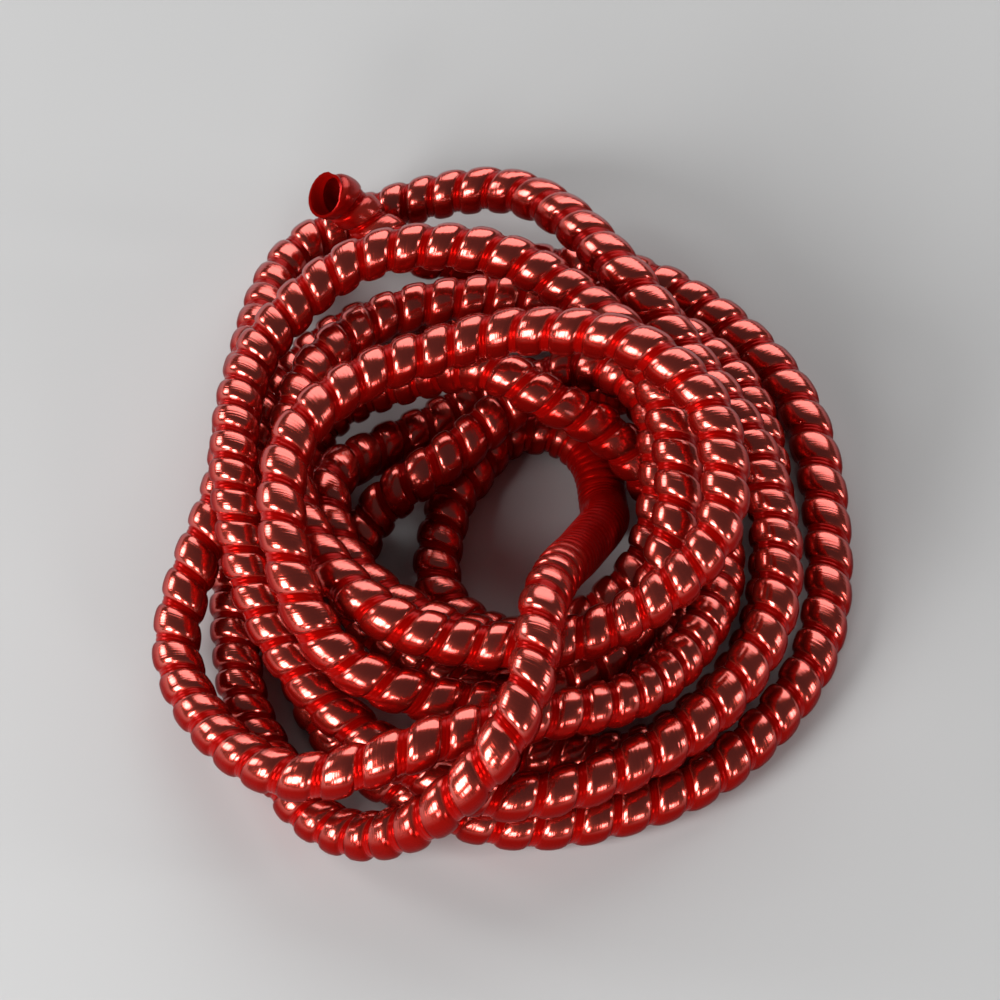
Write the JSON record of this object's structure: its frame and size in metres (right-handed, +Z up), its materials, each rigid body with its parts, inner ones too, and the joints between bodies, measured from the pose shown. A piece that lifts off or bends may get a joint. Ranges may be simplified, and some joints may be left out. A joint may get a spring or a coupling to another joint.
{
  "type": "spiral cable sleeve",
  "caption": "Ribbed spiral plastic sleeve with an open bore, lying in a loose pile of turns, that is threaded over a charging cable.",
  "frame": {"origin": "centre of the pile's bounding box, on the surface that it lies on", "axes": "+Z up; +Y towards the side of the pile where the open mouth lies; +X to the right, seen from the other side"},
  "size_m": [0.0703, 0.0832, 0.0261],
  "materials": {
    "red_metallised_plastic": "glossy red plastic with a metallised face"
  },
  "bodies": {
    "root": {"open_mouth_end": "red_metallised_plastic", "first_turns": "red_metallised_plastic", "crossing_length": "red_metallised_plastic", "main_coil": "red_metallised_plastic"}
  },
  "joints": []
}
